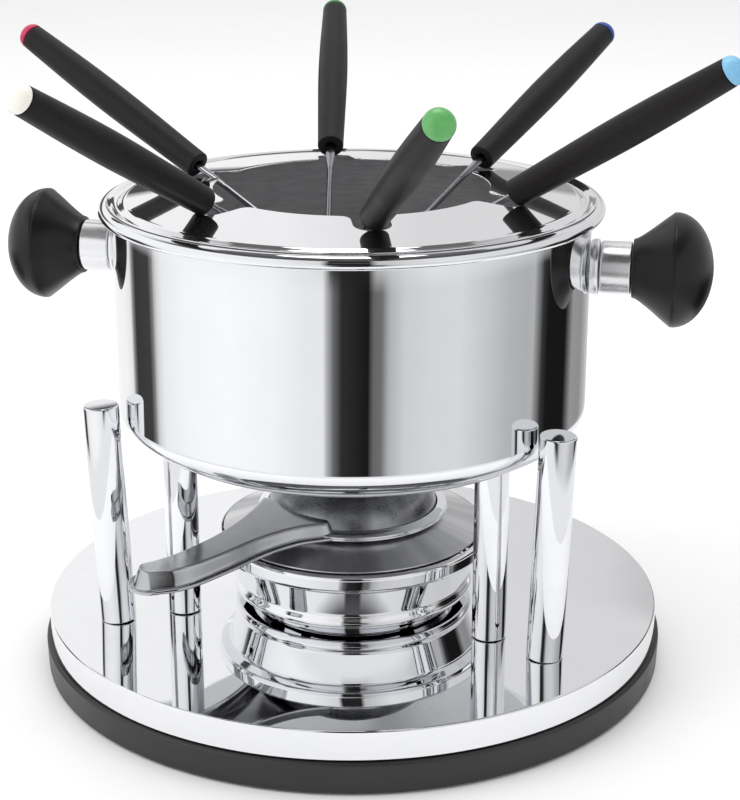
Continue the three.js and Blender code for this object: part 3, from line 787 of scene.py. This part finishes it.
def build_burner():
    """The spun cup with its bead and rolled rim, the cone cover, the dome, the wadding and the wire mesh."""
    cup = softened([
        (0, 24.7), (39.4, 24.7, 0.8), (40.6, 26.6, 0.8), (46.6, 26.9, 1.2), (47.9, 29.4, 2.0),
        (46.2, 31.9, 1.6), (46.6, 33.4, 1.2), (49.6, 44.0, 2.0), (53.4, 45.2, 1.4), (54.3, 46.6, 1.0),
        (54.3, 51.0, 1.6), (52.4, 52.2, 0.8), (51.6, 51.0, 0.4), (48.3, 46.0, 1.0), (45.2, 33.0, 1.0),
        (38.8, 28.4, 1.0), (0, 28.4),
    ], steps=6)
    fit(make_piece("burner_cup_spun", turned(cup, CROWN), FINISH["mirror_steel"]),
        "burner", "mirror_steel", "burner_cup")
    cone = flowing([(33.4, 58.55), (38.5, 56.75), (44.0, 54.85), (48.6, 53.35), (51.0, 52.65)], 6)
    under = [(51.35, 52.3), (51.0, 51.7)] + [(r, z - 0.95) for r, z in reversed(cone[2:-3])]
    fit(make_piece("burner_cover_satin", turned(cone + under, CROWN), FINISH["burner_steel"]),
        "burner", "burner_steel", "burner_cover")
    dome = flowing([
        (33.2, 58.9), (33.2, 61.2), (32.4, 64.2), (30.2, 68.0), (26.4, 71.3), (22.6, 73.4), (20.4, 74.2)], 6)
    lining = [(19.6, 74.1), (19.5, 73.5)]
    lining += [(r - 1.0, z - 0.6) for r, z in reversed(dome[3:-3])] + [(32.2, 58.9)]
    fit(make_piece("regulator_dome_satin", turned(dome + lining, CROWN), FINISH["dome_steel"]),
        "regulator", "burner_steel", "regulator_dome")
    plug = softened([(0, 28.8), (27, 28.8, 1.0), (27, 65.8, 2.5), (0, 66.4)], steps=8)
    fit(make_piece("burner_wadding_plug", turned(plug, CROWN), FINISH["wadding"]),
        "burner", "wadding", "burner_wadding")
    scrap = turned(softened([(0, 67), (1, 67, 0.1), (1, MESH_HEIGHT, 0.1), (0, MESH_HEIGHT)]), 8)
    seat = make_piece("burner_mesh_woven", scrap, FINISH["plain_steel"])  # the wires take its place
    wires = grown(seat, woven_wire_tree(), {
        "Radius": MESH_RADIUS * MM, "Pitch": MESH_PITCH * MM, "Wire": MESH_WIRE * MM,
        "Height": MESH_HEIGHT * MM, "Finish": FINISH["plain_steel"]})
    fit(wires, "burner", "plain_steel", "burner_mesh")


def lever_shape():
    """A pressed arm: a hemmed flange, steep flanks and a smooth top that widens into the dome."""
    x, y, radius, front_start, back_start = LEVER_END
    front, back = flowing(LEVER_FRONT, 9), flowing(LEVER_BACK, 9)
    for swing in np.arange(3, 77, 3.5):
        a, b = math.radians(front_start - swing), math.radians(back_start + swing)
        front.append((x + radius * math.cos(a), y + radius * math.sin(a)))
        back.append((x + radius * math.cos(b), y + radius * math.sin(b)))
    front, back = np.array(front), np.array(back)
    outline = np.vstack([front, back[::-1]])
    first, second = outline[:-1], outline[1:]
    near = np.concatenate([np.arange(0, 5.2, 0.4), np.arange(5.2, 7.2, 1.0)])
    loops = []
    for start, end in zip(front, back):
        width = np.linalg.norm(end - start)
        full = max(width, LEVER_FULL_WIDTH)
        steps = np.concatenate([near, np.linspace(7.2, full - 7.2, 9), full - near[::-1]])
        steps = steps * width / full
        top, under = [], []
        for step in steps:
            point = start + (end - start) * step / width
            along = second - first
            t = np.clip(((point - first) * along).sum(1) / (along**2).sum(1), 0, 1)
            depth = np.linalg.norm(first + along * t[:, None] - point, axis=1).min()
            reach = np.linalg.norm(point)
            fall = LEVER_DROP * (reach - REGULATOR_RADIUS) / LEVER_REACH
            bead = 0.35 * math.exp(-((depth - 0.7) / 0.45) ** 2)
            flank = smooth(depth, 1.7, 4.6)
            rise = (LEVER_HEIGHT - LEVER_HEM + 0.018 * reach) * flank + 0.02 * min(depth, 12)
            level = LEVER_BOTTOM + 1.0 - fall + bead + rise
            top.append((point[0], point[1], level))
            under.append((point[0], point[1], level - LEVER_SHEET))
        loops.append(top + under[::-1])
    return grid_loops(loops, capped=True)


def smooth(value, low, high):
    """Goes from 0 to 1 between two values, level at both."""
    t = min(1.0, max(0.0, (value - low) / (high - low)))
    return t * t * (3 - 2 * t)


def build_regulator():
    """The double-beaded ring that turns on the cover, and its lever."""
    outline = softened([
        (33.5, 58.8, 0.2), (36.9, 58.8, 0.5), (37.6, 59.4, 0.5), (37.0, 60.0, 0.2), (37.5, 60.5, 0.4),
        (36.7, 61.0, 0.4), (34.6, 61.5, 0.6), (33.5, 61.9, 0.2), (33.5, 58.8, 0.2)], steps=5)[:-1]
    fit(make_piece("regulator_ring_beaded", turned(outline, CROWN), FINISH["post_steel"]),
        "regulator", "post_steel", "regulator_ring")
    fit(make_piece("regulator_lever_pressed", lever_shape(), FINISH["lever_steel"]),
        "regulator", "post_steel", "regulator_lever")


def dress_inner_nodes():
    """The pieces that stay as the frame has them: the board core and the screws under the posts."""
    for node, thing in frame["nodes"].items():
        if node == "base_core" or node.endswith("_screw"):
            finish = FINISH["core_board" if node == "base_core" else "plain_steel"]
            thing.data.materials.clear()
            thing.data.materials.append(finish)


# ---------------------------------------------------------------- studio

def build_floor():
    """A pale, matt table top under the whole set."""
    material, tree, shader, place = new_finish("matt white table top")
    mottle = grain(tree, place, 40.0)
    tree.links.new(blend_colour(tree, mottle, "#f3f3f3", "#f6f6f6"), shader.inputs["Base Color"])
    shader.inputs["Roughness"].default_value = 0.9
    shader.inputs["Specular IOR Level"].default_value = 0.1
    mesh = bpy.data.meshes.new("table_top")
    reach = 6.0
    corners = [(-reach, -reach, 0), (reach, -reach, 0), (reach, reach, 0), (-reach, reach, 0)]
    mesh.from_pydata(corners, [], [(0, 1, 2, 3)])
    mesh.materials.append(material)
    floor = bpy.data.objects.new("table_top", mesh)
    bpy.context.scene.collection.objects.link(floor)


def build_tent():
    """The white tent that polished steel mirrors, with its dark gaps; it lights nothing and hides nothing.

    Each tier is a radius, a height and its shades, from the table up to the lamp in the middle of the roof.
    """
    wall, sides = 250.0, 720
    roof = 562
    tiers = (
        (wall, 1, LOW_SHADES), (wall, 24, LOW_SHADES), (wall, 34, TENT_SHADES), (wall, 126, TENT_SHADES),
        (wall, 138, UPPER_SHADES), (wall, 196, UPPER_SHADES), (wall, 202, HORIZON_SHADES),
        (wall, 224, HORIZON_SHADES), (wall, 232, UPPER_SHADES), (wall, 300, UPPER_SHADES),
        (wall, 322, TOP_SHADES), (wall, 560, TOP_SHADES), (235, roof, ROOF_SHADES),
        (125, roof, ROOF_SHADES), (115, roof, LAMP_SHADES), (1, roof, LAMP_SHADES))
    degrees = np.arange(sides) * 360 / sides
    verts = [(radius * math.cos(a) * MM, radius * math.sin(a) * MM, z * MM)
             for radius, z, _ in tiers for a in np.radians(degrees)]
    faces = []
    for low in range(0, (len(tiers) - 1) * sides, sides):
        for k in range(sides):
            n = (k + 1) % sides
            faces.append((low + k, low + n, low + sides + n, low + sides + k))
    mesh = bpy.data.meshes.new("studio_tent")
    mesh.from_pydata(verts, [], faces)
    shade = mesh.attributes.new("shade", "FLOAT", "POINT")
    shade.data.foreach_set("value", [tent_shade(angle, shades) for *_, shades in tiers for angle in degrees])
    material = bpy.data.materials.new("lit tent cloth")
    material.use_nodes = True
    tree = material.node_tree
    tree.nodes.clear()
    level = add_node(tree, "ShaderNodeAttribute", {"attribute_name": "shade"})
    glow = add_node(tree, "ShaderNodeEmission", links={"Strength": level.outputs["Fac"]})
    add_node(tree, "ShaderNodeOutputMaterial", links={"Surface": glow.outputs[0]})
    mesh.materials.append(material)
    tent = bpy.data.objects.new("studio_tent", mesh)
    bpy.context.scene.collection.objects.link(tent)
    tent.visible_camera = False
    tent.visible_diffuse = False
    tent.visible_shadow = False
    tent.visible_transmission = False


# Brightness of the tent's cloth by azimuth in degrees; -90 is the camera's side
LOW_SHADES = [(-180, 0.95), (180, 0.95)]
TENT_SHADES = [
    (-180, 0.5), (-178, 0.75), (-174, 0.95), (-160, 1.06), (-140, 1.1), (-120, 1.03), (-108, 0.93),
    (-101, 0.92), (-99.5, 0.5), (-97, 0.15), (-94, 0.03), (-84, 0.01), (-82, 0.15), (-79, 0.18), (-76, 0.5),
    (-70, 0.7), (-60, 0.76), (-48, 0.78), (-37, 0.66), (-25, 0.52), (-15, 0.48), (-11, 0.5), (-9, 0.3),
    (-5, 0.04), (-1, 0.01), (14, 0.01), (17, 0.1), (22, 0.33), (34, 0.3), (45, 0.5), (58, 0.72), (90, 0.8),
    (105, 1.0), (150, 1.0), (158, 0.9), (161, 0.25), (164, 0.045), (176, 0.055), (179, 0.25), (180, 0.5)]
UPPER_SHADES = [
    (-180, 1.05), (-120, 1.0), (-101, 0.8), (-98, 0.02), (-84, 0.02), (-81, 0.6), (-60, 0.9), (0, 0.74),
    (80, 0.76), (100, 0.95), (180, 1.05)]
HORIZON_SHADES = [
    (-180, 1.05), (-120, 1.0), (-101, 0.8), (-98, 0.1), (-84, 0.1), (-81, 0.6), (-60, 0.8), (0, 0.72),
    (50, 0.7), (62, 0.35), (92, 0.3), (100, 0.08), (150, 0.08), (162, 0.9), (180, 1.05)]
TOP_SHADES = [
    (-180, 0.2), (-175, 0.1), (-8, 0.1), (10, 0.5), (25, 0.76), (80, 0.76), (100, 0.95), (150, 1.0),
    (170, 0.6), (180, 0.2)]
ROOF_SHADES = [(-180, 0.15), (180, 0.15)]
LAMP_SHADES = [(-180, 2.8), (180, 2.8)]


def tent_shade(angle, shades):
    """How bright a tier of the tent is towards an azimuth, in degrees."""
    wrapped = (angle + 180) % 360 - 180
    return float(np.interp(wrapped, [a for a, _ in shades], [s for _, s in shades]))


def soft_light(name, place, size, power, towards=(0, 0, 0.12)):
    """A square softbox that faces the set."""
    lamp = bpy.data.lights.new(name, "AREA")
    lamp.shape = "RECTANGLE"
    lamp.size, lamp.size_y = size
    lamp.energy = power
    thing = bpy.data.objects.new(name, lamp)
    thing.location = place
    direction = Vector(towards) - Vector(place)
    thing.rotation_euler = direction.to_track_quat("-Z", "Y").to_euler()
    bpy.context.scene.collection.objects.link(thing)


def build_studio():
    """Floor, tent, even white surround and two softboxes."""
    build_floor()
    build_tent()
    soft_light("left softbox", (-1.3, -0.5, 1.3), (1.2, 1.2), 11)
    soft_light("overhead softbox", (0.3, 0.5, 1.9), (1.6, 1.0), 11)
    world = bpy.data.worlds.new("studio surround")
    world.use_nodes = True
    tree = world.node_tree
    tree.nodes.clear()
    back = add_node(tree, "ShaderNodeBackground", links={"Color": (1, 1, 1, 1), "Strength": 0.9})
    add_node(tree, "ShaderNodeOutputWorld", links={"Surface": back.outputs[0]})
    bpy.context.scene.world = world
    bpy.context.scene.view_settings.view_transform = "Standard"


def build_camera():
    """A long lens, a little above the set and looking down on it."""
    lens = bpy.data.cameras.new("camera")
    lens.lens = 82.2
    lens.sensor_width = 36
    lens.clip_end = 50
    camera = bpy.data.objects.new("camera", lens)
    camera.location = (0.0014, -0.6754, 0.3300)
    camera.rotation_euler = (math.radians(71.44), 0, math.radians(-0.46))
    bpy.context.scene.collection.objects.link(camera)
    bpy.context.scene.camera = camera


build_camera()
build_studio()
ABOUT_AXIS = copies_about_axis_tree()
build_base()
build_posts(ABOUT_AXIS)
build_pot()
build_handle("right")
build_handle("left")
build_ring(ABOUT_AXIS)
for fork_number in range(1, NOTCHES + 1):
    build_fork(fork_number)
build_burner()
build_regulator()
dress_inner_nodes()
